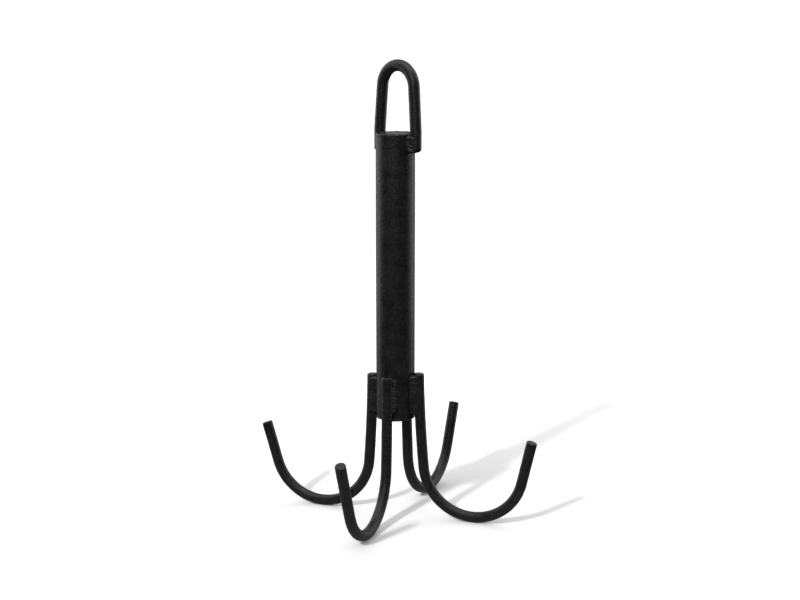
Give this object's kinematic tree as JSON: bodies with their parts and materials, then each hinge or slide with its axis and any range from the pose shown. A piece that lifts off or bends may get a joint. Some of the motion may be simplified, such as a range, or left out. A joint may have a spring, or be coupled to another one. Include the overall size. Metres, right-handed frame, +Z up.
{
  "type": "grapnel anchor",
  "caption": "Small welded grapnel anchor: a closed pipe shank, bent-bar tines curving up round its foot and a bow at its top for the rope.",
  "frame": {"origin": "on the ground, under the middle of the shank", "axes": "+Z up along the shank, +X outward along tine_right"},
  "size_m": [0.3686, 0.3822, 0.5741],
  "materials": {
    "black_paint": "satin",
    "weld_paint": "satin over rippled weld"
  },
  "bodies": {
    "root": {"bottom_cap": "black_paint", "bottom_cap_weld": "weld_paint", "bow": "black_paint", "bow_weld_left_a": "weld_paint", "bow_weld_left_b": "weld_paint", "bow_weld_right_a": "weld_paint", "bow_weld_right_b": "weld_paint", "shank_pipe": "black_paint", "tine_back": "black_paint", "tine_back_weld_a": "weld_paint", "tine_back_weld_b": "weld_paint", "tine_front": "black_paint", "tine_front_weld_a": "weld_paint", "tine_front_weld_b": "weld_paint", "tine_left": "black_paint", "tine_left_weld_a": "weld_paint", "tine_left_weld_b": "weld_paint", "tine_right": "black_paint", "tine_right_weld_a": "weld_paint", "tine_right_weld_b": "weld_paint", "top_cap": "black_paint", "top_cap_weld": "weld_paint"}
  },
  "joints": []
}
